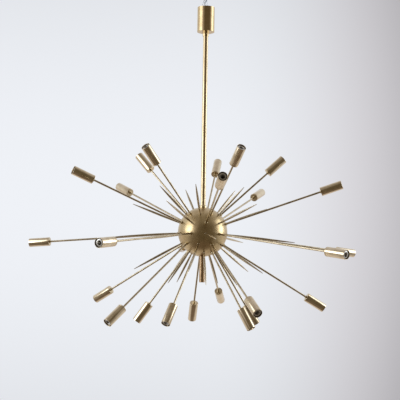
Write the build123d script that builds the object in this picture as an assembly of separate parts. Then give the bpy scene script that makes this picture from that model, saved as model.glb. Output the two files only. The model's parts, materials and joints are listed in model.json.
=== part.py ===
from build123d import *

import os
from collections import namedtuple
from math import cos, radians, sin, sqrt

# A ball chandelier on a slim stem, with twenty-five lamp arms and twenty-five spikes in five rings.
# Millimetres, +Z up. The origin is the centre of the eye at the top of the hanging wire.
# While the pieces are built, heights are measured up from the centre of the ball.

# Ball
BALL_RADIUS = 79.0
SHELL_WALL = 1.5
SEAM_LIP_WALL = 1.2
SEAM_LIP_RISE = 3.0
SEAM_LIP_ROOT = 1.2
BALL_LEAN = 0.9  # degrees: the drilled ball hangs this much lower on its +X side

# Rings of arms and spikes. Reaches are from the centre of the ball to a lamp cup's rim or a spike's tip.
ARMS_PER_RING = 5
FIRST_ARM = 46.6  # degrees round from +X towards -Y of the middle ring's first arm
STEEP_REACH = 355.0
SHALLOW_REACH = 466.0
MIDDLE_REACH = 582.0
SHORT_SPIKE_REACH = 202.0
MEDIUM_SPIKE_REACH = 249.0
LONG_SPIKE_REACH = 297.0

# Arms, and what holds them in the ball
ARM_RADIUS = 3.0
ARM_WALL = 1.0
ARM_INSIDE = 11.0
ARM_IN_HOLDER = 8.0
FERRULE_WALL = 2.0
FERRULE_HEIGHT = 4.0
FERRULE_CHAMFER = 0.8
ARM_NUT_WALL = 1.4
ARM_NUT_HEIGHT = 3.5

# Lamp cups and lampholders
CUP_RADIUS = 14.0
CUP_WALL = 1.0
CUP_LENGTH = 69.0
CUP_FLOOR = 2.0
CUP_EDGE_FILLET = 0.7
NIPPLE_WALL = 2.0
NIPPLE_HEIGHT = 3.0
NIPPLE_CHAMFER = 0.8
HOLDER_RECESS = 3.0
HOLDER_RIM_CHAMFER = 1.0
SOCKET_RADIUS = 7.2  # inside its metal screw shell
SOCKET_DEPTH = 24.0
SCREW_SHELL_WALL = 0.5
SCREW_SHELL_RECESS = 1.0
CONTACT_RADIUS = 3.4
CONTACT_THICKNESS = 1.0
CONTACT_POCKET_DEPTH = 1.5

# Spikes
SPIKE_BASE_RADIUS = 2.2
SPIKE_BELLY_RADIUS = 3.7
SPIKE_BELLY_SHARE = 0.42
SPIKE_FLANK_ARCS = 3  # from the belly to each end; one long arc would be meshed too coarsely
SPIKE_TIP_RADIUS = 0.9
SPIKE_SHOULDER_LEDGE = 1.4
SPIKE_SHOULDER_HEIGHT = 2.5
SPIKE_STUD_RADIUS = 1.5
SPIKE_STUD_INSIDE = 7.0
SPIKE_NUT_WALL = 1.15
SPIKE_NUT_HEIGHT = 2.4

# Stem, its collar on the ball and the finial below
STEM_RADIUS = 8.0
STEM_WALL = 1.5
STEM_LENGTH = 608.0
COLLAR_LEDGE = 3.0
COLLAR_HEIGHT = 7.0
COLLAR_CHAMFER = 2.0
COLLAR_SPIGOT = 14.0
COLLAR_SPIGOT_WALL = 1.3
FINIAL_RADIUS = 9.0
FINIAL_WALL = 1.5
FINIAL_BASE = 3.0
FINIAL_LENGTH = 81.5
FINIAL_EDGE_FILLET = 0.8
FINIAL_THREAD = 14.0

# Centre rod and terminal hub inside the ball
ROD_WALL = 1.5
ROD_NUT_WALL = 3.4
ROD_NUT_HEIGHT = 6.0
HUB_RADIUS = 24.0
HUB_HEIGHT = 36.0

# Canopy cup, its grip on the stem and its screw
CANOPY_RADIUS = 28.0
CANOPY_WALL = 1.2
CANOPY_FLOOR = 2.0
CANOPY_LENGTH = 80.5
CANOPY_DROP = 47.0  # of its lower end below the stem's top
CANOPY_EDGE_FILLET = 1.2
GRIP_WALL = 1.95
GRIP_FOOT_WALL = 1.15
GRIP_NECK_WALL = 1.3
GRIP_LENGTH = 14.0
CANOPY_NUT_WALL = 3.35
CANOPY_NUT_HEIGHT = 4.0
SCREW_RADIUS = 1.5
SCREW_HEAD_RADIUS = 3.9
SCREW_HEAD_HEIGHT = 3.2
SCREW_HEAD_CHAMFER = 0.5
SCREW_SLOT_WIDTH = 0.9
SCREW_SLOT_DEPTH = 0.9
SCREW_DROP = 6.6  # below the bottom of the cup

# Supply terminal in the canopy, on the stem's +X side, and the stem's side hole for its lead
TERMINAL_DEPTH = 11.0
TERMINAL_WIDTH = 18.0
TERMINAL_HEIGHT = 16.0
TERMINAL_EDGE_FILLET = 1.0
SIDE_HOLE_LAND = 3.0  # between the hole and the plug of the stem's eye

# Eye in the top of the stem, and the wire that hangs in it. Rises are above the stem's top.
EYE_SPIGOT = 12.0
EYE_HEAD_HEIGHT = 3.0
EYE_WIDTH = 12.0
EYE_CORNER = 4.0
EYE_THICKNESS = 2.4
EYE_RISE = 18.0
EYE_HOLE_RADIUS = 3.0
EYE_HOLE_RISE = 11.0
WIRE_RADIUS = 1.0
WIRE_LEG_CLEARANCE = 1.3
WIRE_NECK_GAP = 0.5
WIRE_NECK_LENGTH = 8.0
WIRE_LEG_RISE = 47.0
WIRE_NECK_RISE = 55.0
WIRE_EYE_RADIUS = 4.5
HANG_RISE = 70.0

# Clearances
FIT = 0.1  # round what is screwed or pushed in
SCREW_FIT = 0.06  # round the small screw in the grip
SEAT = 0.05  # under what is screwed down on a curved face
RUN = 0.25  # round what slides or turns
LEAD_CLEARANCE = 0.7  # round a lead in its tube
BEND_CLEARANCE = 0.2  # between the stem's wall and the start of the supply lead's bend
WIRE_IN_EYE_CLEARANCE = 0.5
STOP = 1.0  # left between the canopy's grip and the stem's collar at the end of its travel
OVERCUT = 2.0  # how far a blank or a cutter runs past the face that it meets

# What follows from the sizes above
RING_SHIFT = 360 / ARMS_PER_RING / 4  # degrees between one ring's arms and the next ring's, or twice that
INNER_RADIUS = BALL_RADIUS - SHELL_WALL
ARM_BORE = ARM_RADIUS - ARM_WALL
ARM_HOLE = ARM_RADIUS + FIT
ARM_NUT_ACROSS = 2 * (ARM_HOLE + ARM_NUT_WALL)
FERRULE_RADIUS = ARM_RADIUS + FERRULE_WALL
LEAD_RADIUS = ARM_BORE - LEAD_CLEARANCE
NIPPLE_RADIUS = ARM_RADIUS + NIPPLE_WALL
HOLDER_RADIUS = CUP_RADIUS - CUP_WALL - FIT
HOLDER_LENGTH = CUP_LENGTH - CUP_FLOOR - HOLDER_RECESS
HOLDER_BORE = SOCKET_RADIUS + SCREW_SHELL_WALL + FIT
SOCKET_FLOOR = CUP_FLOOR + HOLDER_LENGTH - SOCKET_DEPTH  # from the cup's lower end
SCREW_SHELL_LENGTH = SOCKET_DEPTH - SCREW_SHELL_RECESS
SPIKE_HOLE = SPIKE_STUD_RADIUS + FIT
SPIKE_NUT_ACROSS = 2 * (SPIKE_HOLE + SPIKE_NUT_WALL)
COLLAR_RADIUS = STEM_RADIUS + COLLAR_LEDGE
COLLAR_TOP_HEIGHT = BALL_RADIUS + COLLAR_HEIGHT
STEM_TOP_HEIGHT = COLLAR_TOP_HEIGHT + STEM_LENGTH
SPIGOT_RADIUS = STEM_RADIUS - STEM_WALL - FIT
ROD_HOLE = SPIGOT_RADIUS - COLLAR_SPIGOT_WALL
ROD_RADIUS = ROD_HOLE - FIT
ROD_BORE = ROD_RADIUS - ROD_WALL
ROD_NUT_ACROSS = 2 * (ROD_HOLE + ROD_NUT_WALL)
STEM_LEAD_RADIUS = ROD_BORE - LEAD_CLEARANCE
STEM_LEAD_BEND = STEM_RADIUS - STEM_WALL - BEND_CLEARANCE
SIDE_HOLE_RADIUS = STEM_LEAD_RADIUS + RUN
SIDE_HOLE_HEIGHT = STEM_TOP_HEIGHT - EYE_SPIGOT - SIDE_HOLE_LAND - SIDE_HOLE_RADIUS
TERMINAL_OFFSET = STEM_RADIUS + RUN + TERMINAL_DEPTH / 2
FINIAL_END_HEIGHT = -BALL_RADIUS - FINIAL_LENGTH
CANOPY_BOTTOM_HEIGHT = STEM_TOP_HEIGHT - CANOPY_DROP
CANOPY_TRAVEL = CANOPY_BOTTOM_HEIGHT - GRIP_LENGTH - COLLAR_TOP_HEIGHT - STOP
GRIP_BORE = STEM_RADIUS + RUN
GRIP_RADIUS = GRIP_BORE + GRIP_WALL
GRIP_FOOT_RADIUS = GRIP_BORE + GRIP_FOOT_WALL
GRIP_NECK_RADIUS = GRIP_BORE + GRIP_NECK_WALL
CANOPY_NUT_ACROSS = 2 * (GRIP_NECK_RADIUS + FIT + CANOPY_NUT_WALL)
SCREW_HEIGHT = CANOPY_BOTTOM_HEIGHT - SCREW_DROP
HANG_HEIGHT = STEM_TOP_HEIGHT + HANG_RISE
WIRE_LOW_HEIGHT = STEM_TOP_HEIGHT + EYE_HOLE_RISE + EYE_HOLE_RADIUS - WIRE_IN_EYE_CLEARANCE - WIRE_RADIUS
WIRE_LEG_OFFSET = EYE_THICKNESS / 2 + WIRE_LEG_CLEARANCE + WIRE_RADIUS
WIRE_NECK_OFFSET = WIRE_RADIUS + WIRE_NECK_GAP / 2

Ring = namedtuple("Ring", "name latitude azimuth reach spikes spike_reach")
RINGS = [
    Ring("upper_steep", 45, FIRST_ARM + RING_SHIFT, STEEP_REACH, "short", SHORT_SPIKE_REACH),
    Ring("upper_shallow", 20, FIRST_ARM - 2 * RING_SHIFT, SHALLOW_REACH, "medium", MEDIUM_SPIKE_REACH),
    Ring("middle", -5, FIRST_ARM, MIDDLE_REACH, "long", LONG_SPIKE_REACH),
    Ring("lower_shallow", -30, FIRST_ARM + RING_SHIFT, SHALLOW_REACH, "medium", MEDIUM_SPIKE_REACH),
    Ring("lower_steep", -55, FIRST_ARM, STEEP_REACH, "short", SHORT_SPIKE_REACH),
]

# Arms that are bent out of true: degrees up and round of the far end, by ring and number
LEANS = {
    ("upper_steep", 5): (-1.3, 0),
    ("upper_shallow", 2): (-2, 1),
    ("upper_shallow", 3): (1.6, 2.5),
    ("middle", 1): (-1, 0),
    ("lower_shallow", 1): (0, 2),
    ("lower_shallow", 2): (-7, 0),
    ("lower_steep", 1): (-1, -9),
    ("lower_steep", 2): (2.2, 0),
    ("lower_steep", 3): (0, -6),
}

Arm = namedtuple("Arm", "ring number frame length")
Spike = namedtuple("Spike", "ring frame length")


def direction(latitude, azimuth):
    """Outward direction at so many degrees above the equator and round from +X towards -Y."""
    up = radians(latitude)
    turn = radians(azimuth)
    level = Vector(cos(up) * cos(turn), -cos(up) * sin(turn), sin(up))
    return level.rotate(Axis.Y, BALL_LEAN)


def arm_frames():
    """Each arm's frame: its origin is where the arm's axis meets the ball, and +Z runs out along it."""
    arms = []
    for ring in RINGS:
        for number in range(1, ARMS_PER_RING + 1):
            azimuth = ring.azimuth + (number - 1) * 360 / ARMS_PER_RING
            rise, turn = LEANS.get((ring.name, number), (0, 0))
            root = direction(ring.latitude, azimuth) * BALL_RADIUS
            tip = direction(ring.latitude + rise, azimuth + turn) * ring.reach
            frame = Plane(origin=root, z_dir=tip - root)
            arms.append(Arm(ring, number, frame, (tip - root).length))
    return arms


def spike_frames():
    """Each spike's frame, half way round between two arms of its ring."""
    spikes = []
    for ring in RINGS:
        for number in range(ARMS_PER_RING):
            azimuth = ring.azimuth + (number + 0.5) * 360 / ARMS_PER_RING
            outward = direction(ring.latitude, azimuth)
            frame = Plane(origin=outward * BALL_RADIUS, z_dir=outward)
            spikes.append(Spike(ring, frame, ring.spike_reach - BALL_RADIUS))
    return spikes


ARMS = arm_frames()
SPIKES = spike_frames()


def turned(points):
    """A turned piece: the closed outline of (radius, height) points, spun round Z."""
    return revolve(Plane.XZ * make_face(Polyline(*points, close=True)), Axis.Z)


def tube(outer, inner, low, high):
    """A round tube or, with no inner radius, a rod, standing on Z from low to high."""
    if inner == 0:
        return Pos(0, 0, (low + high) / 2) * Cylinder(outer, high - low)
    return Pos(0, 0, (low + high) / 2) * (Cylinder(outer, high - low) - Cylinder(inner, high - low))


def hex_nut(across, hole, low, high):
    """A hexagon nut on Z."""
    blank = Pos(0, 0, low) * extrude(RegularPolygon(across / 2, 6, major_radius=False), high - low)
    return blank - tube(hole, 0, low, high)


def hex_corner(across):
    """Radius of the circle through a hexagon's corners."""
    return across / sqrt(3)


# Ball


def nut_pockets():
    """The space that each nut inside the ball needs to turn in, where it meets the seam lip."""
    arm_pocket = tube(hex_corner(ARM_NUT_ACROSS) + RUN, 0, -ARM_INSIDE, 0)
    spike_pocket = tube(hex_corner(SPIKE_NUT_ACROSS) + RUN, 0, -ARM_INSIDE, 0)
    pockets = [arm.frame * arm_pocket for arm in ARMS if arm.ring.name == "middle"]
    pockets += [spike.frame * spike_pocket for spike in SPIKES if spike.ring.name == "middle"]
    return [pocket & Sphere(INNER_RADIUS) for pocket in pockets]


def drilled(shell, upper):
    """The half with a hole for every arm and spike of its rings, and one for the centre rod."""
    arm_drill = tube(ARM_HOLE, 0, -ARM_INSIDE, ARM_INSIDE)
    spike_drill = tube(SPIKE_HOLE, 0, -ARM_INSIDE, ARM_INSIDE)
    drills = [arm.frame * arm_drill for arm in ARMS if (arm.ring.latitude > 0) == upper]
    drills += [spike.frame * spike_drill for spike in SPIKES if (spike.ring.latitude > 0) == upper]
    return shell - drills - tube(ROD_HOLE, 0, -BALL_RADIUS, BALL_RADIUS)


def upper_shell():
    half = split(Sphere(BALL_RADIUS) - Sphere(INNER_RADIUS), bisect_by=Plane.XY, keep=Keep.TOP)
    return drilled(half, upper=True)


def lower_shell():
    """The lower half carries a lip inside the seam, notched where a nut sits."""
    half = split(Sphere(BALL_RADIUS) - Sphere(INNER_RADIUS), bisect_by=Plane.XY, keep=Keep.BOTTOM)
    lip_outer = sqrt(INNER_RADIUS**2 - SEAM_LIP_RISE**2) - FIT
    lip_inner = lip_outer - SEAM_LIP_WALL
    lip = tube(lip_outer, lip_inner, 0, SEAM_LIP_RISE)
    root = tube(INNER_RADIUS + SHELL_WALL / 2, lip_inner, -SEAM_LIP_ROOT, 0)
    return drilled(half + lip + root - nut_pockets(), upper=False)


def arm_ferrules():
    blank = turned([
        (ARM_HOLE, -OVERCUT),
        (FERRULE_RADIUS, -OVERCUT),
        (FERRULE_RADIUS, FERRULE_HEIGHT - FERRULE_CHAMFER),
        (FERRULE_RADIUS - FERRULE_CHAMFER, FERRULE_HEIGHT),
        (ARM_HOLE, FERRULE_HEIGHT),
    ])
    return [arm.frame * blank - Sphere(BALL_RADIUS + SEAT) for arm in ARMS]


def arm_nuts():
    blank = hex_nut(ARM_NUT_ACROSS, ARM_HOLE, -SHELL_WALL - ARM_NUT_HEIGHT, 0)
    return [arm.frame * blank & Sphere(INNER_RADIUS - SEAT) for arm in ARMS]


def spike_nuts():
    blank = hex_nut(SPIKE_NUT_ACROSS, SPIKE_HOLE, -SHELL_WALL - SPIKE_NUT_HEIGHT, 0)
    return [spike.frame * blank & Sphere(INNER_RADIUS - SEAT) for spike in SPIKES]


# Arms and lamp cups. In an arm's frame its lamp cup's lower end is at the arm's length less the cup's.


def arm_tube(arm):
    end = arm.length - CUP_LENGTH + CUP_FLOOR + ARM_IN_HOLDER
    return arm.frame * tube(ARM_RADIUS, ARM_BORE, -ARM_INSIDE, end)


def on_cups(piece, ring=None):
    """The piece, drawn with Z along a cup from its lower end, at every arm or every arm of one ring."""
    return [
        arm.frame * Pos(0, 0, arm.length - CUP_LENGTH) * piece
        for arm in ARMS
        if ring is None or arm.ring is ring
    ]


def lamp_cup():
    inner = CUP_RADIUS - CUP_WALL
    cup = turned([
        (ARM_HOLE, 0),
        (CUP_RADIUS, 0),
        (CUP_RADIUS, CUP_LENGTH),
        (inner, CUP_LENGTH),
        (inner, CUP_FLOOR),
        (ARM_HOLE, CUP_FLOOR),
    ])
    rim = cup.edges().filter_by(GeomType.CIRCLE).filter_by(lambda edge: edge.radius > inner + FIT)
    return fillet(rim.sort_by(Axis.Z)[0], CUP_EDGE_FILLET)


def lampholder():
    """A moulded insert with a blind socket, a pocket for its contact and a way in for arm and lead."""
    low = CUP_FLOOR
    high = CUP_FLOOR + HOLDER_LENGTH
    pocket = CONTACT_RADIUS + FIT
    pocket_floor = SOCKET_FLOOR - CONTACT_POCKET_DEPTH
    arm_end = low + ARM_IN_HOLDER + FIT
    return turned([
        (ARM_HOLE, low),
        (HOLDER_RADIUS, low),
        (HOLDER_RADIUS, high - HOLDER_RIM_CHAMFER),
        (HOLDER_RADIUS - HOLDER_RIM_CHAMFER, high),
        (HOLDER_BORE, high),
        (HOLDER_BORE, SOCKET_FLOOR),
        (pocket, SOCKET_FLOOR),
        (pocket, pocket_floor),
        (ARM_BORE, pocket_floor),
        (ARM_BORE, arm_end),
        (ARM_HOLE, arm_end),
    ])


def centre_contact():
    pocket_floor = SOCKET_FLOOR - CONTACT_POCKET_DEPTH
    return tube(CONTACT_RADIUS, 0, pocket_floor, pocket_floor + CONTACT_THICKNESS)


def screw_shell():
    """The metal lining of the socket, which a lamp screws into."""
    outer = SOCKET_RADIUS + SCREW_SHELL_WALL
    return tube(outer, SOCKET_RADIUS, SOCKET_FLOOR, SOCKET_FLOOR + SCREW_SHELL_LENGTH)


def cup_nipple():
    return turned([
        (ARM_HOLE, 0),
        (NIPPLE_RADIUS, 0),
        (NIPPLE_RADIUS, NIPPLE_CHAMFER - NIPPLE_HEIGHT),
        (NIPPLE_RADIUS - NIPPLE_CHAMFER, -NIPPLE_HEIGHT),
        (ARM_HOLE, -NIPPLE_HEIGHT),
    ])


def arm_leads():
    """One lead in each arm, from beside the terminal hub to under the lampholder's contact."""
    holder_end = SOCKET_FLOOR - CONTACT_POCKET_DEPTH - SEAT
    inward = BALL_RADIUS - HUB_RADIUS + 2 * LEAD_RADIUS
    nut_end = HUB_HEIGHT / 2 + ROD_NUT_HEIGHT + FIT
    nut_room = tube(hex_corner(ROD_NUT_ACROSS) + FIT, 0, -nut_end, nut_end)
    leads = []
    for arm in ARMS:
        end = arm.length - CUP_LENGTH + holder_end
        lead = arm.frame * tube(LEAD_RADIUS, 0, -inward, end)
        leads.append(lead - Sphere(HUB_RADIUS + FIT) - nut_room)
    return leads


# Spikes


def flank(belly, end):
    """A spindle's side from its belly to an end: tangent arcs through the points of a parabola."""
    arcs = []
    start = belly
    tangent = (0, end[1] - belly[1])
    for number in range(1, SPIKE_FLANK_ARCS + 1):
        share = number / SPIKE_FLANK_ARCS
        point = (belly[0] + (end[0] - belly[0]) * share**2, belly[1] + (end[1] - belly[1]) * share)
        arcs.append(TangentArc(start, point, tangent=tangent))
        start, tangent = point, arcs[-1] % 1
    return arcs


def spindle(length):
    """A turned spindle on a shoulder, drawn a little way into the ball."""
    shoulder = SPIKE_SHOULDER_HEIGHT
    shoulder_radius = SPIKE_BASE_RADIUS + SPIKE_SHOULDER_LEDGE
    base = (SPIKE_BASE_RADIUS, shoulder)
    belly = (SPIKE_BELLY_RADIUS, shoulder + (length - shoulder) * SPIKE_BELLY_SHARE)
    tip = (SPIKE_TIP_RADIUS, length - SPIKE_TIP_RADIUS)
    outline = Polyline(
        base,
        (shoulder_radius, shoulder),
        (shoulder_radius, -OVERCUT),
        (0, -OVERCUT),
        (0, length),
        tip,
    )
    outline += flank(belly, tip)
    outline += flank(belly, base)
    return revolve(Plane.XZ * make_face(outline), Axis.Z)


def spikes_of(kind):
    """The short, medium or long spikes: each is cut to sit on the ball, with a stud that goes through it."""
    ball = Sphere(BALL_RADIUS + SEAT)
    stud = tube(SPIKE_STUD_RADIUS, 0, -SPIKE_STUD_INSIDE, SPIKE_SHOULDER_HEIGHT)
    chosen = [spike for spike in SPIKES if spike.ring.spikes == kind]
    return [spike.frame * spindle(spike.length) - ball + spike.frame * stud for spike in chosen]


# Stem, collar, finial and what runs through the middle of the ball


def stem_tube():
    stem = tube(STEM_RADIUS, STEM_RADIUS - STEM_WALL, COLLAR_TOP_HEIGHT, STEM_TOP_HEIGHT)
    drill = Rot(0, 90, 0) * Cylinder(SIDE_HOLE_RADIUS, 2 * STEM_RADIUS)
    side_hole = Pos(STEM_RADIUS, 0, SIDE_HOLE_HEIGHT) * drill
    return stem - side_hole


def stem_collar():
    """A turned collar on top of the ball, with a spigot up into the stem."""
    blank = turned([
        (ROD_HOLE, INNER_RADIUS),
        (COLLAR_RADIUS, INNER_RADIUS),
        (COLLAR_RADIUS, COLLAR_TOP_HEIGHT - COLLAR_CHAMFER),
        (COLLAR_RADIUS - COLLAR_CHAMFER, COLLAR_TOP_HEIGHT),
        (SPIGOT_RADIUS, COLLAR_TOP_HEIGHT),
        (SPIGOT_RADIUS, COLLAR_TOP_HEIGHT + COLLAR_SPIGOT),
        (ROD_HOLE, COLLAR_TOP_HEIGHT + COLLAR_SPIGOT),
    ])
    return blank - Sphere(BALL_RADIUS + SEAT)


def finial():
    """A tube closed below, whose thick mouth screws up the centre rod against the bottom of the ball."""
    inner = FINIAL_RADIUS - FINIAL_WALL
    mouth_end = -BALL_RADIUS - FINIAL_THREAD
    blank = turned([
        (ROD_HOLE, -INNER_RADIUS),
        (FINIAL_RADIUS, -INNER_RADIUS),
        (FINIAL_RADIUS, FINIAL_END_HEIGHT),
        (0, FINIAL_END_HEIGHT),
        (0, FINIAL_END_HEIGHT + FINIAL_BASE),
        (inner, FINIAL_END_HEIGHT + FINIAL_BASE),
        (inner, mouth_end),
        (ROD_HOLE, mouth_end),
    ])
    foot = blank.edges().filter_by(GeomType.CIRCLE).sort_by(Axis.Z)[0]
    return fillet(foot, FINIAL_EDGE_FILLET) - Sphere(BALL_RADIUS + SEAT)


def centre_rod():
    """A threaded tube from the stem collar's spigot to the finial's mouth."""
    return tube(ROD_RADIUS, ROD_BORE, -BALL_RADIUS - FINIAL_THREAD, COLLAR_TOP_HEIGHT + COLLAR_SPIGOT)


def centre_nuts():
    """Two nuts clamp the halves of the ball and two hold the terminal hub."""
    hub_end = HUB_HEIGHT / 2
    thick = ROD_NUT_HEIGHT
    inside = Sphere(INNER_RADIUS - SEAT)
    return [
        hex_nut(ROD_NUT_ACROSS, ROD_HOLE, INNER_RADIUS - thick, INNER_RADIUS) & inside,
        hex_nut(ROD_NUT_ACROSS, ROD_HOLE, hub_end, hub_end + thick),
        hex_nut(ROD_NUT_ACROSS, ROD_HOLE, -hub_end - thick, -hub_end),
        hex_nut(ROD_NUT_ACROSS, ROD_HOLE, -INNER_RADIUS, thick - INNER_RADIUS) & inside,
    ]


def terminal_hub():
    """A moulded ball with two flats, on the rod, where all the leads meet."""
    flats = tube(HUB_RADIUS, ROD_HOLE, -HUB_HEIGHT / 2, HUB_HEIGHT / 2)
    return Sphere(HUB_RADIUS) & flats


def stem_lead():
    """The supply lead: up the rod and the stem, and out at the side hole to its terminal."""
    route = FilletPolyline(
        (0, 0, -HUB_HEIGHT / 2),
        (0, 0, SIDE_HOLE_HEIGHT),
        (TERMINAL_OFFSET, 0, SIDE_HOLE_HEIGHT),
        radius=STEM_LEAD_BEND,
    )
    start = Plane(origin=route @ 0, z_dir=route % 0)
    return sweep(start * Circle(STEM_LEAD_RADIUS), path=route)


def supply_terminal():
    """The terminal block on the stem's side, with the hole that takes the lead."""
    block = Pos(TERMINAL_OFFSET, 0, SIDE_HOLE_HEIGHT) * Box(TERMINAL_DEPTH, TERMINAL_WIDTH, TERMINAL_HEIGHT)
    block = fillet(block.edges().filter_by(Axis.X), TERMINAL_EDGE_FILLET)
    drill = Rot(0, 90, 0) * Cylinder(STEM_LEAD_RADIUS + FIT, TERMINAL_DEPTH + 2 * FIT)
    return block - Pos(TERMINAL_OFFSET - TERMINAL_DEPTH / 2, 0, SIDE_HOLE_HEIGHT) * drill


# Canopy


def canopy_cup():
    """A spun cup, open above, with a hole in its floor for the grip's neck."""
    inner = CANOPY_RADIUS - CANOPY_WALL
    low = CANOPY_BOTTOM_HEIGHT
    cup = turned([
        (GRIP_NECK_RADIUS + FIT, low),
        (CANOPY_RADIUS, low),
        (CANOPY_RADIUS, low + CANOPY_LENGTH),
        (inner, low + CANOPY_LENGTH),
        (inner, low + CANOPY_FLOOR),
        (GRIP_NECK_RADIUS + FIT, low + CANOPY_FLOOR),
    ])
    outer = cup.edges().filter_by(GeomType.CIRCLE).filter_by(lambda edge: edge.radius > inner + FIT)
    return fillet(outer.sort_by(Axis.Z)[0], CANOPY_EDGE_FILLET)


def canopy_grip():
    """The turned collar under the cup that slides on the stem, with its tapped hole in front."""
    low = CANOPY_BOTTOM_HEIGHT - GRIP_LENGTH
    top = CANOPY_BOTTOM_HEIGHT + CANOPY_FLOOR + CANOPY_NUT_HEIGHT
    grip = turned([
        (GRIP_BORE, low),
        (GRIP_FOOT_RADIUS, low),
        (GRIP_RADIUS, low + GRIP_LENGTH / 2),
        (GRIP_RADIUS, CANOPY_BOTTOM_HEIGHT),
        (GRIP_NECK_RADIUS, CANOPY_BOTTOM_HEIGHT),
        (GRIP_NECK_RADIUS, top),
        (GRIP_BORE, top),
    ])
    drill = Rot(90, 0, 0) * Cylinder(SCREW_RADIUS + SCREW_FIT, GRIP_RADIUS)
    return grip - Pos(0, -GRIP_RADIUS, SCREW_HEIGHT) * drill


def canopy_nut():
    floor = CANOPY_BOTTOM_HEIGHT + CANOPY_FLOOR
    return hex_nut(CANOPY_NUT_ACROSS, GRIP_NECK_RADIUS + FIT, floor, floor + CANOPY_NUT_HEIGHT)


def grip_screw():
    """A round-headed screw with a slot, whose tip stops just short of the stem at rest."""
    tip = STEM_RADIUS + RUN
    under_head = GRIP_RADIUS + RUN
    face = under_head + SCREW_HEAD_HEIGHT
    head = tube(SCREW_HEAD_RADIUS, 0, under_head, face)
    head = chamfer(head.edges().filter_by(GeomType.CIRCLE).sort_by(Axis.Z)[-1], SCREW_HEAD_CHAMFER)
    shank = tube(SCREW_RADIUS, 0, tip, face - SCREW_SLOT_DEPTH)
    slot = Box(2 * SCREW_HEAD_RADIUS + OVERCUT, SCREW_SLOT_WIDTH, 2 * SCREW_SLOT_DEPTH)
    return Pos(0, 0, SCREW_HEIGHT) * Rot(90, 0, 0) * (shank + head - Pos(0, 0, face) * slot)


# Hanging eye and wire


def stem_eye():
    """A plug in the top of the stem with a flat lug, whose hole lies along X."""
    top = STEM_TOP_HEIGHT
    plug = tube(SPIGOT_RADIUS, 0, top - EYE_SPIGOT, top + EYE_HEAD_HEIGHT)
    head = tube(STEM_RADIUS, 0, top, top + EYE_HEAD_HEIGHT)
    outline = Pos(0, EYE_RISE / 2) * Rectangle(EYE_WIDTH, EYE_RISE)
    outline = fillet(outline.vertices().group_by(Axis.Y)[-1], EYE_CORNER)
    outline -= Pos(0, EYE_HOLE_RISE) * Circle(EYE_HOLE_RADIUS)
    upright = Plane(origin=(0, 0, top), x_dir=(0, 1, 0), z_dir=(1, 0, 0))
    return plug + head + extrude(upright * outline, EYE_THICKNESS / 2, both=True)


def hanging_wire():
    """One closed loop of wire: a bend through the lug, two legs, a narrow neck and an eye on top."""
    leg, neck, eye = WIRE_LEG_OFFSET, WIRE_NECK_OFFSET, WIRE_EYE_RADIUS
    bend_height = WIRE_LOW_HEIGHT + leg
    leg_top = STEM_TOP_HEIGHT + WIRE_LEG_RISE
    neck_low = STEM_TOP_HEIGHT + WIRE_NECK_RISE
    neck_top = neck_low + WIRE_NECK_LENGTH
    shoulder = ((leg + neck) / 2, (leg_top + neck_low) / 2)
    eye_rise = HANG_HEIGHT - neck_top
    # The arc that opens the neck touches the eye's circle from outside.
    flare = (neck**2 + eye_rise**2 - eye**2) / (2 * (eye - neck))
    share = eye / (eye + flare)
    meet = ((neck + flare) * share, HANG_HEIGHT - eye_rise * share)
    right = Line((leg, bend_height), (leg, leg_top))
    right += TangentArc((leg, leg_top), shoulder, tangent=(0, 1))
    right += TangentArc((neck, neck_low), shoulder, tangent=(0, -1))
    right += Line((neck, neck_low), (neck, neck_top))
    right += TangentArc((neck, neck_top), meet, tangent=(0, 1))
    left = mirror(right, Plane.YZ)
    bend = ThreePointArc((-leg, bend_height), (0, WIRE_LOW_HEIGHT), (leg, bend_height))
    top = ThreePointArc(meet, (0, HANG_HEIGHT + eye), (-meet[0], meet[1]))
    loop = Plane.XZ * (right + left + bend + top)
    route = Wire(loop.edges())
    start = Plane(origin=route @ 0, z_dir=route % 0)
    return sweep(start * Circle(WIRE_RADIUS), path=route)


def nodes():
    """Every node's name and its piece or pieces."""
    made = {
        "hanging_wire": hanging_wire(),
        "stem_eye": stem_eye(),
        "stem_tube": stem_tube(),
        "stem_collar": stem_collar(),
        "stem_lead": stem_lead(),
        "supply_terminal": supply_terminal(),
        "canopy_cup": canopy_cup(),
        "canopy_grip": canopy_grip(),
        "canopy_nut": canopy_nut(),
        "grip_screw": grip_screw(),
        "upper_shell": upper_shell(),
        "lower_shell": lower_shell(),
        "centre_rod": centre_rod(),
        "centre_nuts": centre_nuts(),
        "terminal_hub": terminal_hub(),
        "finial": finial(),
        "arm_ferrules": arm_ferrules(),
        "arm_nuts": arm_nuts(),
        "spike_nuts": spike_nuts(),
        "arm_leads": arm_leads(),
        "cup_nipples": on_cups(cup_nipple()),
        "lampholder_contacts": on_cups(centre_contact()) + on_cups(screw_shell()),
        "short_spikes": spikes_of("short"),
        "medium_spikes": spikes_of("medium"),
        "long_spikes": spikes_of("long"),
    }
    for arm in ARMS:
        made[f"arm_{arm.ring.name}_{arm.number}"] = arm_tube(arm)
    for ring in RINGS:
        made[f"lamp_cups_{ring.name}"] = on_cups(lamp_cup(), ring)
        made[f"lampholders_{ring.name}"] = on_cups(lampholder(), ring)
    return made


os.makedirs("parts", exist_ok=True)
for name, made in nodes().items():
    pieces = made if isinstance(made, list) else [made]
    solids = [solid for piece in pieces for solid in piece.solids()]
    whole = Compound(children=solids) if len(solids) > 1 else solids[0]
    export_step(Pos(0, 0, -HANG_HEIGHT) * whole, f"parts/{name}.step")
    print(name, len(solids))
print("the canopy slides down by", CANOPY_TRAVEL)
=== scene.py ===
from math import cos, pi, radians, sin, sqrt

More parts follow.
